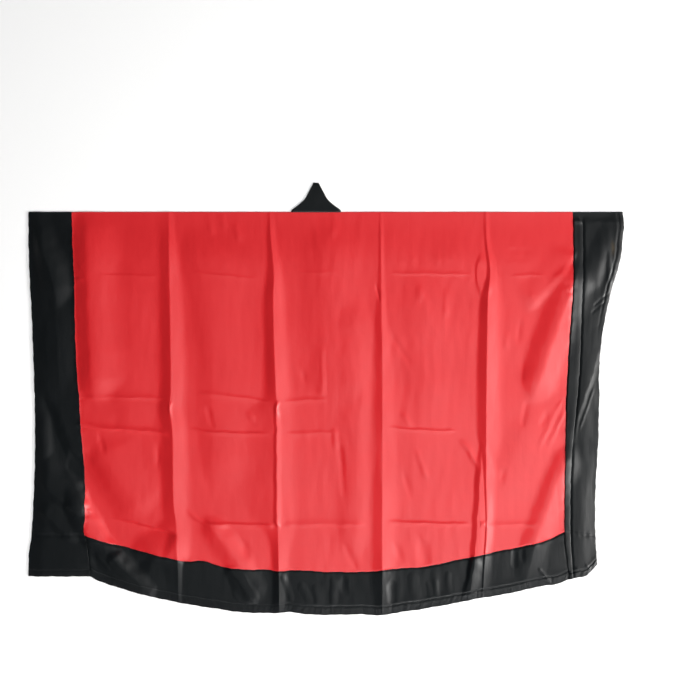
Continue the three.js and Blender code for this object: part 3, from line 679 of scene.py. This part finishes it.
def stain(material, place, half_size, colour):
    """Turns a cloth's colour to this one around a place of its cut, in a patch that fades out at
    half its size, wider in some places than in others."""
    tree = material.node_tree
    shader = tree.nodes["Principled BSDF"]
    uv = node(tree, "UVMap", uv_map="cut").outputs["UV"]
    ragged = node(tree, "TexNoise", {"Vector": uv, "Scale": 160.0, "Detail": 2.0}).outputs["Fac"]
    off = node(tree, "VectorMath", {0: uv, 1: (*place, 0.0)}, operation="SUBTRACT").outputs[0]
    off = node(tree, "VectorMath", {0: off, 1: (1 / half_size[0], 1 / half_size[1], 0.0)},
               operation="MULTIPLY").outputs[0]
    off = node(tree, "VectorMath", {0: off}, operation="LENGTH").outputs["Value"]
    off = maths(tree, "ADD", off, maths(tree, "SUBTRACT", ragged, 0.5))
    here = node(tree, "MapRange", {"Value": off, 1: 1.0, 2: 0.2, 3: 0.0, 4: 1.0}).outputs[0]
    clean = shader.inputs["Base Color"].links[0].from_socket
    dyed = node(tree, "MixRGB", {0: here, 1: clean, 2: (*colour, 1.0)})
    tree.links.new(dyed.outputs[0], shader.inputs["Base Color"])


def dress(piece, material, node_name):
    piece.data.materials.append(material)
    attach(piece, "root")
    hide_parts(node_name)


red_satin = satin_cloth("red satin", (0.64, 0.014, 0.019), 0.45, 0.8, 0.02, (1.0, 0.75, 0.7), 0.10)


def outline_line(name, offset=0.0):
    """A side line of the outline as a function from length down to x, moved to the right."""
    return lambda down: line_at(name, down) + offset


CREASE_CONTROLS = [lambda down, index=index: crease_x(index, down) for index in range(4)]
BACK_LINES = [outline_line("left seam"), *CREASE_CONTROLS, outline_line("right seam")]
BACK_MARKS = [line(0.0) for line in BACK_LINES]
PINCHED_AT = 0.49, 0.47      # x at the shoulder of the columns that follow the pinched pleat
CREASES_ACROSS = 0.203, 0.595, 0.696, 0.943, 0.968     # rows that these creases follow


def back_columns(count, closeness):
    """x at the shoulder of the columns of a piece that reaches from one side seam to the other."""
    return crowded(BACK_MARKS[0] + SEAM_GAP / 2, BACK_MARKS[-1] - SEAM_GAP / 2, count,
                   [*BACK_MARKS, *PINCHED_AT], 0.020, closeness)


columns = back_columns(311, 2.6)
rows = crowded(SHOULDER_SEAM + SEAM_GAP, SEAM_TO_HEM_BAND - SEAM_GAP / 2, 156,
               [0.0, *CREASES_ACROSS, SEAM_TO_HEM_BAND], 0.012, 2.4)
x, length = lie(columns, rows, BACK_LINES)
back_panel = wall("back_panel_cloth", surface(x, length, BACK_LEVEL), np.stack([x, -length], -1))
dress(back_panel, red_satin, "back_panel")

# ---------------------------------------------------------------------------------------------
# Back hem band. A curved band of black satin sewn to the lower edge of the back panel, with its
# own lower edge turned up inside and stitched.

BLACK_SATIN = (0.0026, 0.0040, 0.0050), 0.46, 0.80, 0.01, (0.8, 0.9, 1.0), 0.30
black_satin = satin_cloth("black satin", *BLACK_SATIN)
# The thread's grey colour, far lighter than the black cloth, is painted shine: it makes the rows of
# stitches show as bright lines, where the light they catch would do it.
shine_painted_thread = satin_cloth("shine-painted thread", (0.08, 0.08, 0.083), 0.35, 0.8, 0.0, (1.0, 1.0, 1.0),
                           0.30)

HEM_TURN = 0.027             # how far the lower edge is turned up
STITCH_SWELL = 0.0022        # how much the cloth swells beside the thread that pulls it in
STITCH_SWELL_HALVES = 0.013, 0.0035
LEFT_SWELL, SWELL_GROWS = 0.35, (-0.35, 0.20)      # share of it at the left, and x where it grows
TURN_EASE = -0.001, 0.003    # the double cloth ends from here to here beyond the thread
HEM_PUCKER = 0.0006
STITCH_LENGTH, STITCH_GAP = 0.0032, 0.0012
FIRST_STITCH = 0.004         # from a piece's corner to the end of its row of stitches
THREAD_RADIUS = 0.0004


def turned_edge(inside, along, turn):
    """Height and thickness that a turned edge adds, from how far inside the edge a place is and
    where it is along it: one more thickness of cloth as far in as the turn goes, a swelling beside
    the thread, which is a wide bell less a narrow one, and slanting puckers, sines that die away
    in a bell from the middle of the turn."""
    doubled = CLOTH * (1 - smoothstep(inside - turn, *TURN_EASE))
    wide, narrow = (bells(inside, [(turn, half)]) for half in STITCH_SWELL_HALVES)
    uneven = LEFT_SWELL + (1 - LEFT_SWELL) * smoothstep(along, *SWELL_GROWS)
    slanted = along + 0.5 * inside * np.sin(along * 13.0)
    waves = (np.sin(slanted * 470.0 + 5 * np.sin(along * 41.0)) * np.sin(along * 67.0)
             + np.sin(slanted * 290.0 + 3 * np.sin(along * 29.0)))
    pucker = HEM_PUCKER / 2 * waves * bells(inside, [(turn / 2, turn / 2)])
    return doubled / 2 + uneven * (STITCH_SWELL * (wide - narrow) + pucker), doubled


def stitch_row(name, line):
    """Stitches one after another along a line of points: each is a four-cornered thread that comes
    up out of the cloth, rises and goes down again in half a sine, with the gap to the next."""
    lengths = np.concatenate([[0.0], np.cumsum(np.linalg.norm(np.diff(line, axis=0), axis=1))])
    starts = np.arange(0.0, lengths[-1] - STITCH_LENGTH, STITCH_LENGTH + STITCH_GAP)
    share = np.linspace(0.0, 1.0, 4)
    at = starts[:, None] + STITCH_LENGTH * share
    centre = np.stack([np.interp(at, lengths, line[:, k]) for k in range(3)], axis=-1)
    centre[..., 2] += THREAD_RADIUS * (2 * np.sin(np.pi * share) - 1)
    ahead = centre[:, -1:] - centre[:, :1]
    ahead /= np.linalg.norm(ahead, axis=-1, keepdims=True)
    beside = np.cross(ahead, (0.0, 0.0, 1.0))[:, :, None]
    angle = (np.arange(4) + 0.5) * np.pi / 2
    points = centre[:, :, None] + THREAD_RADIUS * (
        np.cos(angle)[:, None] * beside + np.sin(angle)[:, None] * np.array([0.0, 0.0, 1.0]))
    corner = np.arange(points[..., 0].size).reshape(points.shape[:3])
    turned = np.roll(corner, -1, axis=2)
    sides = np.stack([corner[:, :-1], corner[:, 1:], turned[:, 1:], turned[:, :-1]], axis=-1)
    ends = np.concatenate([corner[:, 0], corner[:, -1, ::-1]])
    points = points.reshape(-1, 3)
    row = mesh_piece(name, points, np.concatenate([sides.reshape(-1, 4), ends]), points[:, :2])
    row.data.materials.append(shine_painted_thread)
    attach(row, "root")
    return row


def turned_band(name, columns, rows, lines, turn, stitches_x):
    """A band of the back whose lower edge is turned up, and the row of stitches that holds the
    turn, which runs just on the cloth from the first to the last x of stitches_x."""
    x, length = lie(columns, rows, lines)
    centre = surface(x, length, BACK_LEVEL)
    raised, doubled = turned_edge(hem_edge(x) - length, x, turn)
    centre[..., 2] += raised
    band = wall(name + "_cloth", centre, np.stack([x, -length], -1), doubled=doubled)
    line = surface(stitches_x, hem_edge(stitches_x) - turn, BACK_LEVEL + CLOTH)
    return band, stitch_row(name + "_stitches", line)


rows = crowded(SEAM_TO_HEM_BAND + SEAM_GAP / 2, CUFF_LENGTH, 50,
               [SEAM_TO_HEM_BAND, CUFF_LENGTH - HEM_TURN], 0.006, 2.0)
back_hem_band, hem_stitches = turned_band(
    "back_hem_band", back_columns(900, 1.0), rows, BACK_LINES, HEM_TURN,
    np.linspace(line_at("left seam", CUFF_LENGTH) + FIRST_STITCH,
                line_at("right seam", CUFF_LENGTH) - FIRST_STITCH, 1600))
dress(back_hem_band, black_satin, "back_hem_band")

# ---------------------------------------------------------------------------------------------
# Left cuff band of the back, a straight strip of black satin down the whole sleeve mouth.

LEFT_CUFF_LINES = [outline_line("left edge"), outline_line("left seam", -SEAM_GAP / 2)]
CUFF_TURN = 0.021            # how far a cuff band's lower end is turned up
LEFT_STITCHES_FROM = -0.944


def cuff_rows(count):
    """Lengths down the robe of the rows of a cuff band of the back."""
    return crowded(SHOULDER_SEAM + SEAM_GAP, CUFF_LENGTH, count, [0.0, CUFF_LENGTH - CUFF_TURN],
                   0.01, 3.0)


columns = crowded(LEFT_CUFF_LINES[0](0.0), LEFT_CUFF_LINES[1](0.0), 56,
                  [OUTLINE["left edge"][0], OUTLINE["left seam"][0]], 0.01, 1.0)
cuff, cuff_stitches = turned_band(
    "back_cuff_band_left", columns, cuff_rows(300), LEFT_CUFF_LINES, CUFF_TURN,
    np.linspace(LEFT_STITCHES_FROM, line_at("left seam", CUFF_LENGTH) - FIRST_STITCH, 200))
dress(cuff, black_satin, "back_cuff_band_left")

# ---------------------------------------------------------------------------------------------
# Right cuff band of the back, whose cloth has slipped and folded under itself in a long pleat
# beside the seam.

PLEAT_RADIUS = 0.0007        # of the middle of the cloth at both its turns
PLEAT_TUCK = 0.009           # how far the cloth goes back under the pleat's edge
PLEAT_FORMS_BY = 0.042       # length down the robe by which it has folded right over
BESIDE_PLEAT = 0.0032        # how high the cloth beside the pleat stands, and how soon it rises
BESIDE_PLEAT_WIDTH = 0.009
OUTER_TURN = 0.016           # how far the outer edge is turned in
OUTER_STITCHES_TO = 0.30     # length down the robe to which its stitches show
OUTER_TURN_FADES = 0.20, 0.42              # lengths down the robe over which the turn goes flat
PLEAT_DIP, PLEAT_DIP_AT, PLEAT_DIP_HALF = 0.7, 0.735, 0.03    # where the pleat is pressed down
STRIP_COLUMNS, TURN_COLUMNS, OUTER_COLUMNS = 16, 7, 45
CUT_STARTS = 0.79            # x of the seam in the flat cloth
STRIP_END = 0.94             # share of the way under the pleat at which the first columns end

rows = cuff_rows(240)[:, None]
seam_x = line_at("right seam", rows) + SEAM_GAP / 2
along_seam = length_at(seam_x, rows)
seam_x = line_at("right seam", along_seam) + SEAM_GAP / 2
lower_turn = line_at("pleat edge", along_seam) - PLEAT_RADIUS - CLOTH / 2 - PLEAT_TUCK
turn = np.pi * smoothstep(along_seam, 0.0, PLEAT_FORMS_BY)
tuck = PLEAT_TUCK * smoothstep(turn, np.pi / 2, np.pi)
crest = 2 * PLEAT_RADIUS * (1 - np.cos(turn)) + tuck * np.sin(turn)
upper_turn = lower_turn - 2 * PLEAT_RADIUS * np.sin(turn) - tuck * np.cos(turn)
share = STRIP_END * np.linspace(0.0, 1.0, STRIP_COLUMNS)[None, :] ** 1.5
strip_x = seam_x + (lower_turn - 0.002 - seam_x) * share
strip_z = crest * smoothstep(share, 0.0, 0.20)
angle = turn * np.linspace(0.0, 1.0, TURN_COLUMNS)[None, :]
over_x = upper_turn + PLEAT_RADIUS * np.sin(angle)
over_z = crest - PLEAT_RADIUS * (1 - np.cos(angle))
angle = angle[:, ::-1]
under_x = lower_turn - PLEAT_RADIUS * np.sin(angle)
under_z = PLEAT_RADIUS * (1 - np.cos(angle))
share = np.linspace(0.0, 1.0, OUTER_COLUMNS)[None, 1:]
pleat_edge, right_edge = line_at("pleat edge", along_seam), line_at("right edge", along_seam)
outer_x = lower_turn + (right_edge - lower_turn) * share
standing = smoothstep(along_seam, 0.01, PLEAT_FORMS_BY) * (
    1 - PLEAT_DIP * bells(along_seam, [(PLEAT_DIP_AT, PLEAT_DIP_HALF)]))
outer_z = BESIDE_PLEAT * standing * (1 - 0.5 * share) * smoothstep(
    outer_x - pleat_edge, 0.0, BESIDE_PLEAT_WIDTH)
x = np.concatenate([strip_x, over_x, under_x, outer_x], axis=1)
z = np.concatenate([strip_z, over_z, under_z, outer_z], axis=1)
length = length_at(x, np.broadcast_to(rows, x.shape))
centre = surface(x, length, BACK_LEVEL)
raised, doubled = turned_edge(hem_edge(x) - length, x, CUFF_TURN)
side_raised, side_doubled = turned_edge(line_at("right edge", length) - x, length, OUTER_TURN)
shown = 1 - smoothstep(length, *OUTER_TURN_FADES)
centre[..., 2] += z + raised + side_raised * shown
across = np.cumsum(np.hypot(np.diff(x, axis=1, prepend=x[:, :1]),
                            np.diff(z, axis=1, prepend=z[:, :1])), axis=1)
cuff = wall("back_cuff_band_right_cloth", centre,
            np.stack([across + CUT_STARTS, -length], -1), doubled=doubled + side_doubled * shown)
down = np.linspace(SHOULDER_SEAM + FIRST_STITCH, OUTER_STITCHES_TO, 400)
outer_stitches = stitch_row("back_cuff_band_right_stitches", surface(
    line_at("right edge", down) - OUTER_TURN, down, BACK_LEVEL + BESIDE_PLEAT / 2 + CLOTH))
stained_satin = satin_cloth("stained black satin", *BLACK_SATIN)
stain(stained_satin, (0.939, -0.116), (0.0085, 0.030), (0.022, 0.013, 0.002))
dress(cuff, stained_satin, "back_cuff_band_right")

# ---------------------------------------------------------------------------------------------
# Fronts. Each front panel, with its hem band and cuff band, lies under the back with its outer
# face down. It turns over the shoulder and is sewn to the back just behind the fold. The middle
# edges are straight, and the collar band is sewn to them.

NECK_X = -0.030              # middle of the neck and of the front opening
NECK_HALF = 0.080            # half the width of the neck, along the shoulder fold
COLLAR_WIDTH = 0.090         # the front edges spread from the neck to this, over the next length
COLLAR_SPREAD = 0.140


def front_edge(side, offset=0.0):
    """x of the edge of a front that the collar band is sewn to, as a function of length down."""
    return lambda down: NECK_X + side * (
        NECK_HALF + (COLLAR_WIDTH - NECK_HALF) * smoothstep(down, 0.0, COLLAR_SPREAD) + offset)


def front_piece(name, columns, rows, lines):
    """A piece of the front. One that starts at the shoulder begins with a half turn from the back's
    level, round the fold, to the front's level."""
    x, length = lie(columns, rows[rows > SHOULDER_SEAM] if rows[0] == 0.0 else rows, lines)
    level = np.full(x.shape, FRONT_LEVEL)
    if rows[0] == 0.0:
        angle = np.linspace(np.pi / 2, -np.pi / 2, 9)[:, None]
        at_fold = following(columns[None, :], np.zeros((9, 1)), lines)
        x = np.concatenate([at_fold, x])
        length = np.concatenate([
            SHOULDER_SEAM - TURN_RADIUS * np.cos(angle) + 0.0 * at_fold, length])
        level = np.concatenate([
            FRONT_LEVEL + TURN_RADIUS * (1 + np.sin(angle)) + 0.0 * at_fold, level])
    centre = surface(x, length, 0.0)
    centre[..., 2] += level
    steps = np.linalg.norm(np.diff(centre, axis=0, prepend=centre[:1]), axis=-1)
    flat = np.stack([x, -np.cumsum(steps, axis=0)], axis=-1)
    return wall(name, centre, flat, outwards=-1.0)


SEAM_OFFSET = 0.002          # how far in and up the front's seams lie from the back's
PANEL_INSET, BAND_INSET = SEAM_OFFSET + SEAM_GAP / 2, SEAM_OFFSET - SEAM_GAP / 2
LEFT_FRONT_LINES = [
    outline_line("left seam", PANEL_INSET), *CREASE_CONTROLS[:2], front_edge(-1, SEAM_GAP)]
RIGHT_FRONT_LINES = [
    front_edge(1, SEAM_GAP), *CREASE_CONTROLS[2:], outline_line("right seam", -PANEL_INSET)]
LEFT_FRONT_CUFF = [outline_line("left edge"), outline_line("left seam", BAND_INSET)]
RIGHT_FRONT_CUFF = [outline_line("right seam", -BAND_INSET), outline_line("right edge")]
BODY_ROWS = crowded(0.0, SEAM_TO_HEM_BAND - PANEL_INSET, 110, [0.0, SEAM_TO_HEM_BAND], 0.01, 1.0)
HEM_ROWS = crowded(SEAM_TO_HEM_BAND - BAND_INSET, CUFF_LENGTH, 22, [CUFF_LENGTH], 0.01, 1.0)
CUFF_ROWS = crowded(0.0, CUFF_LENGTH, 120, [0.0, CUFF_LENGTH], 0.01, 1.0)

RED, BLACK = (red_satin, "red_satin"), (black_satin, "black_satin")
# columns: piece, cloth, lines, columns across, rows, flat size, area
for name, (material, slot), lines, count, rows, flat, area in [
    ("front_panel_left", RED, LEFT_FRONT_LINES, 150, BODY_ROWS, (0.701, 1.148), 0.744),
    ("front_panel_right", RED, RIGHT_FRONT_LINES, 150, BODY_ROWS, (0.7455, 1.149), 0.793),
    ("front_hem_band_left", BLACK, LEFT_FRONT_LINES, 150, HEM_ROWS, (0.643, 0.252), 0.086),
    ("front_hem_band_right", BLACK, RIGHT_FRONT_LINES, 150, HEM_ROWS, (0.719, 0.253), 0.100),
    ("front_cuff_band_left", BLACK, LEFT_FRONT_CUFF, 22, CUFF_ROWS, (0.199, 1.1705), 0.179),
    ("front_cuff_band_right", BLACK, RIGHT_FRONT_CUFF, 18, CUFF_ROWS, (0.183, 1.174), 0.125),
]:
    marks = [float(line(0.0)) for line in lines]
    columns = crowded(marks[0], marks[-1], count, marks, 0.02, 2.0)
    piece = front_piece(name + "_cloth", columns, rows, lines)
    dress(piece, material, name)

# ---------------------------------------------------------------------------------------------
# Collar band. One straight strip of black satin, sewn up one front edge, round the nape and down
# the other. It folds over at each side of the neck, so that it stands above the shoulders at the
# nape in a blunt triangle that lies face up.

COLLAR_RISE = 0.093          # how far the band stands above the shoulder fold at the nape
COLLAR_TIP_HALF = 0.011      # half the width of its blunt tip
COLLAR_DRAWN_IN = 0.28       # share of its width by which its sides are drawn in from halfway up
COLLAR_SPREAD_FOOT = 0.05    # and by which its foot spreads on the shoulders
COLLAR_COLUMNS = 15
LIMB_FROM = 0.012            # length down the robe below which its limbs run straight down


def collar_band():
    """The grid of the strip, in rows across it from its sewn edge to its free edge: up one limb,
    round the fold at one side of the neck, over the nape, and the same on the other side."""
    inset = TURN_RADIUS + CLOTH / 2
    slant = np.array([COLLAR_TIP_HALF - NECK_HALF, COLLAR_RISE])
    slant /= np.hypot(*slant)
    outward = np.array([slant[1], -slant[0]])
    foot = np.array([NECK_HALF - inset * outward[0], SHOULDER_SEAM])
    tip = np.array([COLLAR_TIP_HALF - inset * outward[0], inset * outward[1] - COLLAR_RISE])
    shares = np.linspace(0.0, 1.0, COLLAR_COLUMNS)

    def across(sewn, free, level):
        line = sewn + (free - sewn) * shares[:, None]
        return np.stack([line[:, 0], line[:, 1], np.full(len(shares), level)], axis=-1)

    grid = []
    rows = np.concatenate([BODY_ROWS[BODY_ROWS > LIMB_FROM], HEM_ROWS[1:]])
    for side in (-1, 1):
        mirror = np.array([side, 1.0])
        free = side * SEAM_GAP / 2
        top = np.array([side * NECK_HALF, LIMB_FROM]), np.array([free, 0.0])
        turned = foot * mirror, tip * mirror
        limb = []
        for share in np.linspace(0.0, 1.0, 12)[1:]:
            limb.append(across(turned[0] + (top[0] - turned[0]) * share,
                               turned[1] + (top[1] - turned[1]) * share, FRONT_LEVEL))
        for down in rows:
            sewn = front_edge(side)(down) - NECK_X
            line = sewn + (free - sewn) * shares
            line_down = length_at(NECK_X + line, down)
            limb.append(np.stack([line, line_down, np.full(len(shares), FRONT_LEVEL)], axis=-1))
        turn = []
        for angle in np.linspace(-np.pi / 2, np.pi / 2, 9):
            moved = np.array([outward[0], -outward[1]]) * np.cos(angle) * TURN_RADIUS
            turn.append(across((foot + moved) * mirror, (tip + moved) * mirror,
                               FRONT_LEVEL + TURN_RADIUS * (1 + np.sin(angle))))
        grid.append(limb[::-1] + turn)
    nape = []
    for share in np.linspace(-1.0, 1.0, 26)[1:-1]:
        nape.append(across(foot * (share, 1.0), tip * (share, 1.0), BACK_LEVEL))
    return np.array(grid[0] + nape + grid[1][::-1])


strip = collar_band()
above = -strip[..., 1] / COLLAR_RISE
strip[..., 0] *= 1 - COLLAR_DRAWN_IN * smoothstep(above, 0.05, 0.5) + COLLAR_SPREAD_FOOT * (
    smoothstep(above, 0.0, 0.04) - smoothstep(above, 0.04, 0.2))
centre = surface(NECK_X + strip[..., 0], strip[..., 1], 0.0)
centre[..., 2] += strip[..., 2]
along = np.linalg.norm(np.diff(centre, axis=0, prepend=centre[:1]), axis=-1).mean(axis=1)
widths = np.linspace(0.0, COLLAR_WIDTH, strip.shape[1])
flat = np.stack(np.meshgrid(widths, np.cumsum(along)), axis=-1)
collar = wall("collar_band_cloth", centre, flat)
dress(collar, black_satin, "collar_band")

# ---------------------------------------------------------------------------------------------
# The room. The robe lies on a plain white floor, under a camera that looks straight down on it.
# A low key light stands on the robe's right, so every crease is bright on its right-hand side and
# dark on its left. It has two parts, one that lights the cloth and one that gives it its sheen.
# The others light the hem and the shoulders, and a pale backdrop shows behind the floor.

VIEW_WIDTH = 2.24            # of floor that the picture takes in
VIEW_CENTRE = (0.0784, 0.1556)
CAMERA_LENS_MM = 60.0
CAMERA_SENSOR_MM = 36.0
FLOOR_HALF = 6.0
WHITE = (1.0, 1.0, 1.0)
KEY_WHITE = (1.0, 0.985, 0.965)

# columns: name, place, size, power in watts, colour, lights the cloth itself, lights its sheen
LIGHTS = [
    ("key", (5.9, -1.5, 2.7), 1.6, 415.0, KEY_WHITE, True, False),
    ("key sheen", (7.4, -1.9, 4.2), 2.1, 960.0, KEY_WHITE, False, True),
    ("hem sheen", (1.0, -7.5, 3.4), 2.1, 130.0, WHITE, False, True),
    ("overhead", (1.6, -1.8, 5.0), 4.0, 300.0, WHITE, True, False),
    ("shoulder fill", (-0.5, 5.0, 4.0), 3.0, 20.0, WHITE, True, False),
    ("hem fill", (1.0, -4.5, 4.0), 3.0, 50.0, WHITE, True, False),
]

scene.view_settings.view_transform = "Standard"
scene.view_settings.look = "None"

camera = bpy.data.objects.new("camera", bpy.data.cameras.new("camera"))
scene.collection.objects.link(camera)
camera.data.lens = CAMERA_LENS_MM
camera.data.sensor_width = CAMERA_SENSOR_MM
camera.location = (*VIEW_CENTRE, VIEW_WIDTH * CAMERA_LENS_MM / CAMERA_SENSOR_MM)
camera.data.clip_end = 60.0
scene.camera = camera

for name, place, size, power, colour, on_cloth, on_sheen in LIGHTS:
    light = bpy.data.objects.new(name, bpy.data.lights.new(name, "AREA"))
    light.data.size = size
    light.data.energy = power
    light.data.color = colour
    light.location = place
    light.rotation_euler = (-Vector(place)).to_track_quat("-Z", "Y").to_euler()
    light.visible_diffuse = on_cloth
    light.visible_glossy = on_sheen
    scene.collection.objects.link(light)

# The room's own light is faint, so that the creases keep their contrast.
room = bpy.data.worlds.new("room")
room.use_nodes = True
tree = room.node_tree
faint = tree.nodes["Background"]
set_inputs(faint, Color=WHITE, Strength=0.015)
backdrop = node(tree, "Background", {"Color": (0.85, 0.85, 0.85, 1.0)})
straight_on = node(tree, "LightPath").outputs["Is Camera Ray"]
either = node(tree, "MixShader", {0: straight_on, 1: faint.outputs[0], 2: backdrop.outputs[0]})
tree.links.new(either.outputs[0], tree.nodes["World Output"].inputs["Surface"])
scene.world = room

floor_paint = bpy.data.materials.new("floor paint")
floor_paint.use_nodes = True
set_inputs(floor_paint.node_tree.nodes["Principled BSDF"], Base_Color=(0.97, 0.97, 0.97),
           Emission_Color=WHITE, Emission_Strength=0.07, Roughness=0.9, Specular_IOR_Level=0.1)
floor_mesh = bpy.data.meshes.new("floor")
floor_mesh.from_pydata([(FLOOR_HALF * x, FLOOR_HALF * y, 0)
                        for x, y in [(-1, -1), (1, -1), (1, 1), (-1, 1)]], [], [(0, 1, 2, 3)])
floor_mesh.materials.append(floor_paint)
floor = bpy.data.objects.new("floor", floor_mesh)
scene.collection.objects.link(floor)
